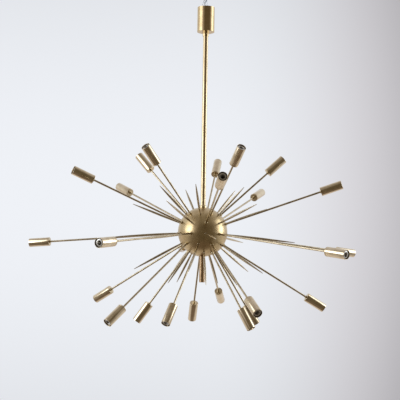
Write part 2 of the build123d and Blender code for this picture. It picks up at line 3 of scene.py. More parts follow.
import bpy
import numpy as np
from mathutils import Matrix, Vector
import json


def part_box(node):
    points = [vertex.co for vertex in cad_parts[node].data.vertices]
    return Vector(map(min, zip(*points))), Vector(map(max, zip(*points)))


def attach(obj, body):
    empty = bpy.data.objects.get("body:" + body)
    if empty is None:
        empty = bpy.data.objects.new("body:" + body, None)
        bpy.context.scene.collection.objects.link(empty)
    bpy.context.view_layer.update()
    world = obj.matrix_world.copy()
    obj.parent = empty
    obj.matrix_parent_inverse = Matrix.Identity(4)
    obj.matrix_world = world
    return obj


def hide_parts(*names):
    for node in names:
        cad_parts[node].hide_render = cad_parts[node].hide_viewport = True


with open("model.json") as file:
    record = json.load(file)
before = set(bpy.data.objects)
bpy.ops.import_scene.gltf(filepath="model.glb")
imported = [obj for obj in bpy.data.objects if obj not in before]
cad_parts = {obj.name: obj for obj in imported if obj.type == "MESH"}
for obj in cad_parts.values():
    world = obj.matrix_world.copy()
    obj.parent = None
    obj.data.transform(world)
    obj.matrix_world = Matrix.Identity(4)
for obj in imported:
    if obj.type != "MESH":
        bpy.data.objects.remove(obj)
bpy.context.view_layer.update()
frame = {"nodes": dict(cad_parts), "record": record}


# Ball: two spun brass half shells, satin and aged to a brown gold, that meet at a seam round the
# middle. Both are drilled for the arms and spikes, and the lower one has a lip inside the seam.

BALL_CLEAN = (0.68, 0.53, 0.30)
BALL_DULL = (0.45, 0.33, 0.17)
BALL_LOW, BALL_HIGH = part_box("lower_shell")[0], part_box("upper_shell")[1]
BALL_RADIUS = (BALL_HIGH.x - BALL_LOW.x) / 2
BALL_CENTRE = Vector((0, 0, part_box("upper_shell")[0].z))
SEAM_WIDTH = 0.0004
SEAM_DEPTH = 8  # times the depth of the relief
BALL_RELIEF = 0.00001
FINE_RELIEF = 0.000003  # how deep tool marks and handling go into polished brass
TOOL_MARK = 0.0005  # how wide a line left by a tool is
DRAWN_STRETCH = 0.02  # a drawn line is that much finer across than along
TONE_STEPS = (3.1, 1.7, 2.3)  # how far a piece's tone moves it through the pattern of its finish


class Link:
    """An output socket. Reckoning with it and a number or another link adds a Math node."""

    def __init__(self, tree, socket):
        self.tree = tree
        self.socket = socket

    def math(self, operation, *others):
        return self.tree.node("ShaderNodeMath", {"operation": operation}, dict(enumerate((self, *others))))

    def __add__(self, other):
        return self.math("ADD", other)

    def __sub__(self, other):
        return self.math("SUBTRACT", other)

    def __rsub__(self, other):
        return self * -1 + other

    def __mul__(self, other):
        return self.math("MULTIPLY", other)

    def __truediv__(self, other):
        return self.math("DIVIDE", other)

    __radd__ = __add__
    __rmul__ = __mul__

    def rise(self, low, high):
        """From 0 at low to 1 at high, smoothly, and level beyond them."""
        values = {"Value": self, "From Min": low, "From Max": high}
        return self.tree.node("ShaderNodeMapRange", {"interpolation_type": "SMOOTHSTEP"}, values)


class Tree:
    """A shader or geometry node tree that is being built."""

    def __init__(self, made):
        self.made = made
        made.nodes.clear()

    def node(self, kind, settings=None, values=None, output=0):
        """A new node's output. Its settings are set first, then the values or links of its sockets."""
        node = self.made.nodes.new(kind)
        for name, value in (settings or {}).items():
            setattr(node, name, value)
        inputs = [socket for socket in node.inputs if socket.enabled]
        for key, value in (values or {}).items():
            socket = inputs[key] if isinstance(key, int) else next(s for s in inputs if s.name == key)
            if isinstance(value, Link):
                self.made.links.new(value.socket, socket)
            else:
                socket.default_value = value
        outputs = [socket for socket in node.outputs if socket.enabled]
        if not outputs:
            return None
        named = outputs[output] if isinstance(output, int) else next(s for s in outputs if s.name == output)
        return Link(self, named)

    def noise(self, place, size, detail=4.0, roughness=0.6):
        """Noise from 0 to 1 whose patches are about that many metres across."""
        values = {"Vector": place, "Scale": 1 / size, "Detail": detail, "Roughness": roughness}
        return self.node("ShaderNodeTexNoise", values=values)

    def mix(self, share, first, second):
        """A colour between two, each a triple of numbers or a link."""
        values = {"Factor": share}
        for name, colour in (("A", first), ("B", second)):
            values[name] = colour if isinstance(colour, Link) else (*colour, 1)
        return self.node("ShaderNodeMix", {"data_type": "RGBA"}, values)

    def vector(self, operation, *others):
        return self.node("ShaderNodeVectorMath", {"operation": operation}, dict(enumerate(others)))

    def parts(self, vector):
        return [self.node("ShaderNodeSeparateXYZ", values={0: vector}, output=n) for n in range(3)]

    def joined(self, x, y, z):
        return self.node("ShaderNodeCombineXYZ", values={0: x, 1: y, 2: z})


def new_material(name):
    """A new material and its empty tree."""
    material = bpy.data.materials.new(name)
    material.use_nodes = True
    return material, Tree(material.node_tree)


def surface(tree, colour, roughness, metallic, height, depth):
    """The last nodes of a material. The height, from 0 to 1, stands for that depth of relief."""
    normal = tree.node("ShaderNodeBump", values={"Height": height, "Distance": depth, "Strength": 1.0})
    values = {"Base Color": colour, "Roughness": roughness, "Metallic": metallic, "Normal": normal}
    shader = tree.node("ShaderNodeBsdfPrincipled", values=values)
    tree.node("ShaderNodeOutputMaterial", values={"Surface": shader})


def own_frame(tree):
    """A repeated piece's place in its own frame, its tone, and the place moved on by that tone."""
    place = tree.node("ShaderNodeAttribute", {"attribute_name": "local"}, output="Vector")
    tone = tree.node("ShaderNodeAttribute", {"attribute_name": "tone"}, output="Fac")
    moved = tree.vector("ADD", place, tree.joined(*[tone * step for step in TONE_STEPS]))
    return place, tone, moved


def brass(
    name, clean, dull, roughness, patch, tarnished,
    marks="turned", repeated=False, relief=FINE_RELIEF, dirt=None, groove=None,
):
    """Aged brass: clean metal under patches of tarnish and small specks, with a tool's fine lines.

    Roughness and tarnished are pairs, least and most, and patch is how wide a patch of tarnish is. The
    marks are turned, round Z, or drawn, along it. A repeated piece reads its own frame and tone. Dirt
    and groove are functions of the height: dirt adds tarnish, and groove takes relief away.
    """
    material, tree = new_material(name)
    if repeated:
        place, tone, own = own_frame(tree)
    else:
        own = place = tree.node("ShaderNodeTexCoord", output="Object")
    x, y, z = tree.parts(place)
    if marks == "turned":
        around = tree.vector("LENGTH", tree.joined(x, y, 0.0))
        lines = tree.noise(tree.joined(around, 0.0, z), TOOL_MARK, 2)
    else:
        lines = tree.noise(tree.joined(x, y, z * DRAWN_STRETCH), TOOL_MARK, 2)
    clouds = tree.noise(own, patch, 6, 0.65)
    smears = tree.noise(own, patch / 3, 3)
    specks = tree.noise(own, patch / 10, 2).rise(0.66, 0.76)
    tarnish = clouds.rise(0.3, 0.75)
    if repeated:
        tarnish = tarnish * (tone * 0.7 + 0.65)
    least, most = tarnished
    tarnish = tarnish * (most - least) + least + specks * 0.3
    if dirt:
        tarnish = tarnish + dirt(z)
    low, high = roughness
    rough = tarnish * (high - low) * 0.6 + smears * (high - low) * 0.4 + low
    height = lines * 0.35 + smears * 0.65
    if groove:
        height = height - groove(z)
    surface(tree, tree.mix(tarnish, clean, dull), rough, 1.0, height, relief)
    return material


def dress(material, *nodes):
    """Gives CAD nodes their material."""
    for node in nodes:
        slots = frame["nodes"][node].data.materials
        slots.clear()
        slots.append(material)


def seam(z):
    """The fine line where the halves of the ball meet."""
    return (z - BALL_CENTRE.z).math("ABSOLUTE").rise(SEAM_WIDTH, 0.0) * SEAM_DEPTH


BALL_BRASS = brass(
    "ball_brass",
    BALL_CLEAN,
    BALL_DULL,
    roughness=(0.23, 0.33),
    patch=0.03,
    tarnished=(0.15, 0.95),
    relief=BALL_RELIEF,
    groove=seam,
)
dress(BALL_BRASS, "upper_shell", "lower_shell")


# Inside the ball: a zinc plated threaded rod with its nuts clamps the two halves and carries a moulded
# hub, where the leads of all the arms meet. A nut on each arm and spike holds it against the shell.

ZINC = (0.62, 0.62, 0.60)
ZINC_DULL = (0.36, 0.36, 0.36)
HUB_COLOUR = (0.80, 0.77, 0.69)
HUB_GRIME = (0.55, 0.50, 0.40)
LEAD_COLOUR = (0.74, 0.70, 0.61)
LEAD_GRIME = (0.50, 0.46, 0.38)


def plated(name, bright, dull, roughness, grain):
    """Plated steel: a mottled grey with a fine grain."""
    material, tree = new_material(name)
    place = tree.node("ShaderNodeTexCoord", output="Object")
    cloud = tree.noise(place, grain * 8, 4).rise(0.3, 0.7)
    fine = tree.noise(place, grain, 2)
    low, high = roughness
    surface(tree, tree.mix(cloud, bright, dull), cloud * (high - low) + low, 1.0, fine, grain / 40)
    return material


def moulded(name, colour, grime, roughness, grain):
    """A matt moulded plastic with patches of grime and a fine grain."""
    material, tree = new_material(name)
    place = tree.node("ShaderNodeTexCoord", output="Object")
    cloud = tree.noise(place, grain * 20, 5).rise(0.45, 0.8)
    fine = tree.noise(place, grain, 3)
    low, high = roughness
    surface(tree, tree.mix(cloud * 0.6, colour, grime), fine * (high - low) + low, 0.0, fine, grain / 20)
    return material


ZINC_PLATE = plated("zinc_plate", ZINC, ZINC_DULL, roughness=(0.28, 0.42), grain=0.0005)
INSULATOR = moulded("insulator", HUB_COLOUR, HUB_GRIME, roughness=(0.45, 0.6), grain=0.0006)
LEAD_COVER = moulded("lead_cover", LEAD_COLOUR, LEAD_GRIME, roughness=(0.5, 0.62), grain=0.0008)
dress(ZINC_PLATE, "centre_rod", "centre_nuts", "arm_nuts", "spike_nuts")
dress(INSULATOR, "terminal_hub")
dress(LEAD_COVER, "arm_leads", "stem_lead")


# Collar, stem and finial: a turned collar on top of the ball, the slim polished tube that the lamp
# hangs from, and a plain closed tube that screws up the rod under the ball. The finial is the dullest.

STEM_CLEAN = (0.76, 0.62, 0.39)
STEM_DULL = (0.56, 0.40, 0.20)
FINIAL_CLEAN = (0.66, 0.46, 0.27)
FINIAL_DULL = (0.44, 0.29, 0.16)

STEM_BRASS = brass(
    "stem_brass",
    STEM_CLEAN,
    STEM_DULL,
    roughness=(0.2, 0.32),
    patch=0.025,
    tarnished=(0.05, 0.5),
    marks="drawn",
)
FINIAL_BRASS = brass(
    "finial_brass",
    FINIAL_CLEAN,
    FINIAL_DULL,
    roughness=(0.2, 0.34),
    patch=0.02,
    tarnished=(0.2, 0.9),
)
dress(STEM_BRASS, "stem_tube", "stem_collar")
dress(FINIAL_BRASS, "finial")


# Arms: 25 drawn brass tubes, each through a small turned ferrule on the ball, with the lead to its
# lampholder inside. They are aged in patches, and dirtiest where they leave their ferrules.

ARM_CLEAN = (0.72, 0.61, 0.43)
ARM_DULL = (0.36, 0.29, 0.17)
ARM_WALL = 0.001
ARM_GRIME = 0.35
ARM_GRIME_REACH = 0.03
ARM_SIDES = 24
FERRULE_CLEAN = (0.86, 0.72, 0.46)
FERRULE_EDGE = 0.0008
FERRULE_SIDES = 28
SHARP_EDGE = radians(32)  # a bend over this stays a sharp line
PIECES_APART = 0.02  # nothing of another arm or spike comes as near to an arm's axis as this


class Axis:
    """The line that an arm or spike lies on: where it leaves the ball, and its outward direction."""

    def __init__(self, name, direction, point):
        self.name = name
        self.direction = direction
        inward = point - BALL_CENTRE
        along = inward.dot(direction)
        self.root = point - direction * (along - sqrt(along**2 - inward.length_squared + BALL_RADIUS**2))

    def span(self, node):
        """A node's lowest and highest place along the axis, and its largest distance from it."""
        corners = np.array([vertex.co for vertex in frame["nodes"][node].data.vertices]) - self.root
        along = corners @ np.array(self.direction)
        away = np.sqrt(np.maximum((corners**2).sum(axis=1) - along**2, 0))
        near = (away < PIECES_APART) & (along > -BALL_RADIUS)
        return along[near].min(), along[near].max(), away[near].max()


SOCKETS = [mount for mount in frame["record"]["mounts"] if mount["kind"] == "bore"]
ARMS = [
    Axis(mount["name"].removeprefix("socket_"), Vector(mount["axis"]), Vector(mount["pos_m"]))
    for mount in SOCKETS
]


def turning_tree():
    """Turns an outline round Z, with a thread on the parts that have one, and repeats it on axes.

    The outline is a chain of vertices: radius, share of the thread and height. The axes are vertices
    with an outward direction and a length, by which the piece is stretched.
    """
    group = bpy.data.node_groups.new("turned_pieces", "GeometryNodeTree")
    tree = Tree(group)
    sockets = {
        "Axes": "Geometry",
        "Outline": "Object",
        "Sides": "Int",
        "Thread Depth": "Float",
        "Thread Pitch": "Float",
        "Seed": "Int",
        "Finish": "Material",
    }
    for name, kind in sockets.items():
        group.interface.new_socket(name, in_out="INPUT", socket_type=f"NodeSocket{kind}")
    group.interface.new_socket("Pieces", in_out="OUTPUT", socket_type="NodeSocketGeometry")
    given = {name: tree.node("NodeGroupInput", output=name) for name in sockets}

    outline = tree.node("GeometryNodeObjectInfo", values={"Object": given["Outline"]}, output="Geometry")
    count = tree.node("GeometryNodeAttributeDomainSize", values={"Geometry": outline}, output="Point Count")
    grid = {"Size X": 1.0, "Size Y": 1.0, "Vertices X": given["Sides"] + 1, "Vertices Y": count}
    blank = tree.node("GeometryNodeMeshGrid", values=grid, output="Mesh")
    index = tree.node("GeometryNodeInputIndex")
    column = ((index + 0.5) / count).math("FLOOR")
    sampled = {
        "Geometry": outline,
        "Value": tree.node("GeometryNodeInputPosition"),
        "Index": index - column * count,
    }
    point = tree.node("GeometryNodeSampleIndex", {"data_type": "FLOAT_VECTOR"}, sampled)
    radius, share, height = tree.parts(point)
    angle = column / given["Sides"] * (2 * pi)
    phase = angle + height / given["Thread Pitch"] * (2 * pi)
    radius = radius + share * given["Thread Depth"] * phase.math("SINE")
    place = tree.joined(radius * angle.math("COSINE"), radius * angle.math("SINE"), height)
    piece = tree.node("GeometryNodeSetPosition", values={"Geometry": blank, "Position": place})
    piece = tree.node("GeometryNodeMergeByDistance", values={"Geometry": piece, "Distance": 1e-7})
    stored = {"Geometry": piece, "Name": "local", "Value": tree.node("GeometryNodeInputPosition")}
    piece = tree.node("GeometryNodeStoreNamedAttribute", {"data_type": "FLOAT_VECTOR"}, stored)

    def named(name, kind):
        return tree.node("GeometryNodeInputNamedAttribute", {"data_type": kind}, {"Name": name})

    def random(low, high, extra):
        values = {"Min": low, "Max": high, "Seed": given["Seed"] + extra}
        return tree.node("FunctionNodeRandomValue", {"data_type": "FLOAT"}, values)

    tones = {"Geometry": given["Axes"], "Name": "tone", "Value": random(0.0, 1.0, 0)}
    axes = tree.node("GeometryNodeStoreNamedAttribute", {"data_type": "FLOAT"}, tones)
    aimed = {"Vector": named("direction", "FLOAT_VECTOR")}
    aimed = tree.node("FunctionNodeAlignRotationToVector", {"axis": "Z"}, aimed)
    spin = {"Axis": (0.0, 0.0, 1.0), "Angle": random(0.0, 2 * pi, 1)}
    spin = tree.node("FunctionNodeAxisAngleToRotation", values=spin)
    turned = {"Rotation": aimed, "Rotate By": spin}
    turned = tree.node("FunctionNodeRotateRotation", {"rotation_space": "LOCAL"}, turned)
    stretch = tree.joined(1.0, 1.0, named("length", "FLOAT"))
    placed = {"Points": axes, "Instance": piece, "Rotation": turned, "Scale": stretch}
    pieces = tree.node("GeometryNodeInstanceOnPoints", values=placed)
    pieces = tree.node("GeometryNodeRealizeInstances", values={"Geometry": pieces})
    local = {
        "Geometry": pieces,
        "Name": "local",
        "Value": tree.vector("MULTIPLY", named("local", "FLOAT_VECTOR"), stretch),
    }
    pieces = tree.node("GeometryNodeStoreNamedAttribute", {"data_type": "FLOAT_VECTOR"}, local)
    for name in ("direction", "length"):
        pieces = tree.node("GeometryNodeRemoveAttribute", values={"Geometry": pieces, "Name": name})
    pieces = tree.node("GeometryNodeSetShadeSmooth", values={"Geometry": pieces, "Shade Smooth": True})
    bend = tree.node("GeometryNodeInputMeshEdgeAngle", output="Unsigned Angle")
    sharp = {"Geometry": pieces, "Selection": bend.math("GREATER_THAN", SHARP_EDGE), "Shade Smooth": False}
    pieces = tree.node("GeometryNodeSetShadeSmooth", {"domain": "EDGE"}, sharp)
    finished = {"Geometry": pieces, "Material": given["Finish"]}
    pieces = tree.node("GeometryNodeSetMaterial", values=finished)
    tree.node("NodeGroupOutput", values={"Pieces": pieces})
    return group


TURNING = turning_tree()


def chain(name, points):
    """A mesh of vertices in a row."""
    mesh = bpy.data.meshes.new(name)
    mesh.from_pydata(points, [(n, n + 1) for n in range(len(points) - 1)], [])
    made = bpy.data.objects.new(name, mesh)
    bpy.context.collection.objects.link(made)
    return made


def turned_pieces(name, outline, axes, finish, stands_for, sides=32, thread=(0.0, 1.0)):
    """One mesh of an outline's turned pieces on the axes: (place, direction, length of a unit) triples.

    The outline is a list of radius, height and, where it is threaded, 1. It goes up the outside of the
    metal and, if there is a bore, down the bore.
    """
    corners = [(point[0], point[2] if len(point) > 2 else 0, point[1]) for point in outline]
    shape = chain(name + "_outline", corners)
    made = chain(name, [place for place, direction, length in axes])
    mesh = made.data
    for label, kind, values in (
        ("direction", "FLOAT_VECTOR", [number for axis in axes for number in axis[1]]),
        ("length", "FLOAT", [axis[2] for axis in axes]),
    ):
        field = mesh.attributes.new(label, kind, "POINT")
        field.data.foreach_set("vector" if kind == "FLOAT_VECTOR" else "value", values)
    modifier = made.modifiers.new("turned", "NODES")
    modifier.node_group = TURNING
    given = {
        "Outline": shape,
        "Sides": sides,
        "Thread Depth": thread[0],
        "Thread Pitch": thread[1],
        "Seed": len(bpy.data.meshes),
        "Finish": finish,
    }
    for item in TURNING.interface.items_tree:
        if item.in_out == "INPUT" and item.name in given:
            modifier[item.identifier] = given[item.name]
    bpy.context.view_layer.update()
    seen = made.evaluated_get(bpy.context.evaluated_depsgraph_get())
    made.data = bpy.data.meshes.new_from_object(seen)
    made.data.name = name
    made.modifiers.remove(modifier)
    bpy.data.objects.remove(shape)
    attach(made, "fixture")
    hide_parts(*stands_for)


def corner(centre, radius, start, end, steps=4):
    """Points round a corner of an outline, from one angle to another in degrees."""
    turns = [radians(start + (end - start) * step / steps) for step in range(steps + 1)]
    return [(centre[0] + radius * cos(turn), centre[1] + radius * sin(turn)) for turn in turns]


def closed(points):
    """An outline that ends where it begins."""
    return points + points[:1]


def on_ball(radius):
    """How far the ball's surface lies below an axis's root at that distance from the axis."""
    return sqrt(BALL_RADIUS**2 - radius**2) - BALL_RADIUS


def arm_dirt(z):
    """Grime on an arm, most where it leaves its ferrule."""
    return z.rise(ARM_GRIME_REACH, 0.0) * ARM_GRIME


ARM_BRASS = brass(
    "arm_brass",
    ARM_CLEAN,
    ARM_DULL,
    roughness=(0.16, 0.30),
    patch=0.02,
    tarnished=(0.1, 0.9),
    marks="drawn",
    repeated=True,
    dirt=arm_dirt,
)
FERRULE_BRASS = brass(
    "ferrule_brass",
    FERRULE_CLEAN,
    ARM_DULL,
    roughness=(0.1, 0.2),
    patch=0.01,
    tarnished=(0.0, 0.4),
    repeated=True,
)
arm_axes = []
for arm in ARMS:
    low, high, ARM_RADIUS = arm.span("arm_" + arm.name)
    arm_axes.append((arm.root + arm.direction * low, arm.direction, high - low))
ARM_BORE = ARM_RADIUS - ARM_WALL
turned_pieces(
    "arms",
    closed([(ARM_BORE, 0), (ARM_RADIUS, 0), (ARM_RADIUS, 1), (ARM_BORE, 1)]),
    arm_axes,
    ARM_BRASS,
    ["arm_" + arm.name for arm in ARMS],
    sides=ARM_SIDES,
)

_, top, radius = ARMS[0].span("arm_ferrules")
turned_pieces(
    "ferrules",
    closed(
        [(ARM_RADIUS, on_ball(ARM_RADIUS)), (radius, on_ball(radius))]
        + corner((radius - FERRULE_EDGE, top - FERRULE_EDGE), FERRULE_EDGE, 0, 90)
        + [(ARM_RADIUS, top)]
    ),
    [(arm.root, arm.direction, 1.0) for arm in ARMS],
    FERRULE_BRASS,
    ["arm_ferrules"],
    sides=FERRULE_SIDES,
)


# Spikes: 25 turned brass spindles in three lengths, one between each two arms of a ring. Each swells
# from a shoulder on the ball and runs out to a fine tip, and a stud holds it through the shell.

SPIKE_CLEAN = (0.68, 0.58, 0.42)
SPIKE_DULL = (0.34, 0.28, 0.18)
SPIKE_SHOULDER = 0.0036
SPIKE_SHOULDER_HEIGHT = 0.0025
SPIKE_SHOULDER_EDGE = 0.0007
SPIKE_BASE = 0.0022
SPIKE_BELLY = 0.0037
SPIKE_BELLY_SHARE = 0.42
SPIKE_TIP = 0.0009
SPIKE_STUD = 0.0015
SPIKE_STUD_LENGTH = 0.004
SPIKE_STEPS = 14
SPIKE_SIDES = 20
TIP_DEPTH = 0.0006  # points that lie this near to a spike's farthest one are its tip
SPIKES_APART = radians(6)


def spike_axes(node):
    """The axes of a node's spikes, found from the points that lie farthest out, and their length."""
    corners = np.array([vertex.co for vertex in frame["nodes"][node].data.vertices]) - BALL_CENTRE
    reach = np.linalg.norm(corners, axis=1)
    found = []
    while len(corners):
        tip = corners[reach.argmax()] / reach.max()
        near = corners @ tip > reach * cos(SPIKES_APART)
        end = corners[near & (reach > reach.max() - TIP_DEPTH)].mean(axis=0)
        direction = Vector(end).normalized()
        found.append((BALL_CENTRE + direction * BALL_RADIUS, direction, 1.0))
        length = reach.max() - BALL_RADIUS
        corners, reach = corners[~near], reach[~near]
    return found, length


def flank(length):
    """The spindle's side: a parabola from its shoulder to its belly, and one from there to its tip."""
    low, high = SPIKE_SHOULDER_HEIGHT, length - SPIKE_TIP
    belly = low + (length - low) * SPIKE_BELLY_SHARE
    points = []
    for step in range(SPIKE_STEPS + 1):
        height = low + (high - low) * (step / SPIKE_STEPS)
        end, radius = (low, SPIKE_BASE) if height < belly else (high, SPIKE_TIP)
        drop = (SPIKE_BELLY - radius) * ((height - belly) / (end - belly)) ** 2
        points.append((SPIKE_BELLY - drop, height))
    return points


SPIKE_BRASS = brass(
    "spike_brass",
    SPIKE_CLEAN,
    SPIKE_DULL,
    roughness=(0.16, 0.28),
    patch=0.015,
    tarnished=(0.1, 0.7),
    repeated=True,
)
edge = SPIKE_SHOULDER_EDGE
for kind in ("short", "medium", "long"):
    axes, length = spike_axes(kind + "_spikes")
    turned_pieces(
        kind + "_spindles",
        [(0, -SPIKE_STUD_LENGTH), (SPIKE_STUD, -SPIKE_STUD_LENGTH), (SPIKE_STUD, on_ball(SPIKE_STUD))]
        + [(SPIKE_SHOULDER, on_ball(SPIKE_SHOULDER))]
        + corner((SPIKE_SHOULDER - edge, SPIKE_SHOULDER_HEIGHT - edge), edge, 0, 90, 3)
        + flank(length)
        + corner((0, length - SPIKE_TIP), SPIKE_TIP, 0, 90, 3),
        axes,
        SPIKE_BRASS,
        [kind + "_spikes"],
        sides=SPIKE_SIDES,
    )


# Lamp cups: a plain polished brass sleeve on each arm, closed below by a flat disc pressed into it. A
# small turned nipple holds the disc where the arm comes in.

CUP_CLEAN = (0.80, 0.68, 0.49)
CUP_DULL = (0.50, 0.38, 0.22)
CUP_WALL = 0.001
CUP_FLOOR = 0.002
CUP_EDGE = 0.0007
DISC_JOINT_HEIGHT = 0.0024
DISC_JOINT_SIZE = 0.0003
CUP_GRIME = 0.2
CUP_GRIME_REACH = 0.012
CUP_SIDES = 48
NIPPLE_EDGE = 0.0008
NIPPLE_SIDES = 28
RINGS = ("upper_steep", "upper_shallow", "middle", "lower_shallow", "lower_steep")


def ring_of(arm):
    """The name of the ring that an arm stands in."""
    return arm.name.rsplit("_", 1)[0]


def cup_axes():
    """The axes of the lamp cups, from their lower ends."""
    found = []
    for arm in ARMS:
        low = arm.span("lamp_cups_" + ring_of(arm))[0]
        found.append((arm.root + arm.direction * low, arm.direction, 1.0))
    return found


def cup_dirt(z):
    """Grime low on a cup, where it is handled least."""
    return z.rise(CUP_GRIME_REACH, 0.0) * CUP_GRIME


CUP_BRASS = brass(
    "cup_brass",
    CUP_CLEAN,
    CUP_DULL,
    roughness=(0.07, 0.17),
    patch=0.02,
    tarnished=(0.0, 0.6),
    repeated=True,
    dirt=cup_dirt,
)
NIPPLE_BRASS = brass(
    "nipple_brass",
    FERRULE_CLEAN,
    ARM_DULL,
    roughness=(0.12, 0.24),
    patch=0.01,
    tarnished=(0.1, 0.6),
    repeated=True,
)
CUPS = cup_axes()
cup_low, cup_high, CUP_RADIUS = ARMS[0].span("lamp_cups_" + ring_of(ARMS[0]))
rim_height = cup_high - cup_low - CUP_WALL / 2
joint_low, joint_high = DISC_JOINT_HEIGHT - DISC_JOINT_SIZE, DISC_JOINT_HEIGHT + DISC_JOINT_SIZE
disc_joint = [
    (CUP_RADIUS, joint_low),
    (CUP_RADIUS - DISC_JOINT_SIZE, DISC_JOINT_HEIGHT),
    (CUP_RADIUS, joint_high),
]
turned_pieces(
    "lamp_cups",
    closed(
        [(ARM_RADIUS, 0)]
        + corner((CUP_RADIUS - CUP_EDGE, CUP_EDGE), CUP_EDGE, -90, 0)
        + disc_joint
        + corner((CUP_RADIUS - CUP_WALL / 2, rim_height), CUP_WALL / 2, 0, 180, 6)
        + [(CUP_RADIUS - CUP_WALL, CUP_FLOOR), (ARM_RADIUS, CUP_FLOOR)]
    ),
    CUPS,
    CUP_BRASS,
    ["lamp_cups_" + ring for ring in RINGS],
    sides=CUP_SIDES,
)

low, high, radius = ARMS[0].span("cup_nipples")
turned_pieces(
    "nipples",
    closed(
        [(ARM_RADIUS, low - high)]
        + corner((radius - NIPPLE_EDGE, low - high + NIPPLE_EDGE), NIPPLE_EDGE, -90, 0)
        + [(radius, 0), (ARM_RADIUS, 0)]
    ),
    CUPS,
    NIPPLE_BRASS,
    ["cup_nipples"],
    sides=NIPPLE_SIDES,
)


# Lampholders: a black moulded insert in each cup, sunk a little below its rim. A plated screw shell is
# pressed into its bore, with a wide flange on its face, and a centre contact lies at the bottom.

BLACK = (0.012, 0.011, 0.010)
BLACK_DUST = (0.06, 0.055, 0.048)
HOLDER_EDGE = 0.0008
HOLDER_SIDES = 40
SHELL_METAL = (0.58, 0.55, 0.50)
SHELL_DULL = (0.38, 0.36, 0.32)
SHELL_WALL = 0.0005
SHELL_GAP = 0.0001
FLANGE_RADIUS = 0.0107
FLANGE_THICKNESS = 0.0004
SOCKET_DEPTH = 0.024
CONTACT_RADIUS = 0.0034
CONTACT_THICKNESS = 0.001
CONTACT_POCKET = 0.0015
THREAD_DEPTH = 0.0008
THREAD_PITCH = 0.00282
THREAD_ROWS = 7  # to one turn
SHELL_SIDES = 24
CONTACT_SIDES = 20
SOCKET_RADIUS = SOCKETS[0]["dims"]["r_mm"] / 1000


def bakelite():
    """Black phenolic moulding: glossy, with faint flow marks and some dust."""
    material, tree = new_material("bakelite")
    _, tone, own = own_frame(tree)
    flow = tree.noise(own, 0.006, 4)
    dust = tree.noise(own, 0.0012, 3).rise(0.5, 0.8) * (tone * 0.6 + 0.4)
    rough = dust * 0.25 + flow * 0.1 + 0.14
    surface(tree, tree.mix(dust, BLACK, BLACK_DUST), rough, 0.0, flow, 0.00003)
    return material


def screw_metal():
    """The plated sheet of a screw shell and contact, dulled in patches."""
    material, tree = new_material("screw_metal")
    _, tone, own = own_frame(tree)
    cloud = tree.noise(own, 0.004, 4).rise(0.3, 0.75) * (tone * 0.6 + 0.4)
    fine = tree.noise(own, 0.0006, 2)
    surface(tree, tree.mix(cloud, SHELL_METAL, SHELL_DULL), cloud * 0.16 + 0.22, 1.0, fine, 0.00001)
    return material


holder_low, holder_high, HOLDER_RADIUS = ARMS[0].span("lampholders_" + ring_of(ARMS[0]))
holder_low, holder_high = holder_low - cup_low, holder_high - cup_low
socket_floor = holder_high - SOCKET_DEPTH
contact_low = socket_floor - CONTACT_POCKET
bore = SOCKET_RADIUS + SHELL_WALL + SHELL_GAP
turned_pieces(
    "lampholders",
    closed(
        [(ARM_RADIUS, holder_low), (HOLDER_RADIUS, holder_low)]
        + corner((HOLDER_RADIUS - HOLDER_EDGE, holder_high - HOLDER_EDGE), HOLDER_EDGE, 0, 90)
        + [(bore + HOLDER_EDGE / 2, holder_high), (bore, holder_high - HOLDER_EDGE / 2), (bore, socket_floor)]
        + [(CONTACT_RADIUS, socket_floor), (CONTACT_RADIUS, contact_low)]
        + [(ARM_BORE, contact_low), (ARM_BORE, holder_low)]
    ),
    CUPS,
    bakelite(),
    ["lampholders_" + ring for ring in RINGS],
    sides=HOLDER_SIDES,
)

SCREW_METAL = screw_metal()
thread_swing = THREAD_DEPTH / 2
shell_radius = SOCKET_RADIUS + SHELL_WALL
shell_top = holder_high + FLANGE_THICKNESS
rows = round((shell_top - socket_floor) / THREAD_PITCH * THREAD_ROWS)
threaded = [shell_top + (socket_floor - shell_top) * row / rows for row in range(rows + 1)]
turned_pieces(
    "screw_shells",
    closed(
        [(SOCKET_RADIUS, socket_floor), (shell_radius, socket_floor)]
        + [(shell_radius, holder_high), (FLANGE_RADIUS, holder_high)]
        + corner((FLANGE_RADIUS - FLANGE_THICKNESS, holder_high), FLANGE_THICKNESS, 30, 90, 2)
        + [(SOCKET_RADIUS - thread_swing, height, 1) for height in threaded]
    ),
    CUPS,
    SCREW_METAL,
    ["lampholder_contacts"],
    sides=SHELL_SIDES,
    thread=(thread_swing, THREAD_PITCH),
)
turned_pieces(
    "centre_contacts",
    [
        (0, contact_low),
        (CONTACT_RADIUS, contact_low),
        (CONTACT_RADIUS, contact_low + CONTACT_THICKNESS * 0.5),
        (CONTACT_RADIUS * 0.7, contact_low + CONTACT_THICKNESS * 0.9),
        (0, contact_low + CONTACT_THICKNESS),
    ],
    CUPS,
    SCREW_METAL,
    ["lampholder_contacts"],
    sides=CONTACT_SIDES,
)


# Canopy: a spun and polished brass cup, open above, on a turned grip that slides on the stem. A ring
# nut inside holds the two together, and a round-headed screw in the grip clamps it to the stem.

CANOPY_CLEAN = (0.72, 0.58, 0.34)
CANOPY_DULL = (0.47, 0.31, 0.15)
CANOPY_RELIEF = 0.00002

CANOPY_BRASS = brass(
    "canopy_brass",
    CANOPY_CLEAN,
    CANOPY_DULL,
    roughness=(0.09, 0.2),
    patch=0.03,
    tarnished=(0.1, 0.8),
    relief=CANOPY_RELIEF,
)
GRIP_BRASS = brass(
    "grip_brass",
    CANOPY_CLEAN,
    CANOPY_DULL,
    roughness=(0.14, 0.28),
    patch=0.008,
    tarnished=(0.1, 0.7),
)
dress(CANOPY_BRASS, "canopy_cup")
dress(GRIP_BRASS, "canopy_grip", "grip_screw")
dress(ZINC_PLATE, "canopy_nut")


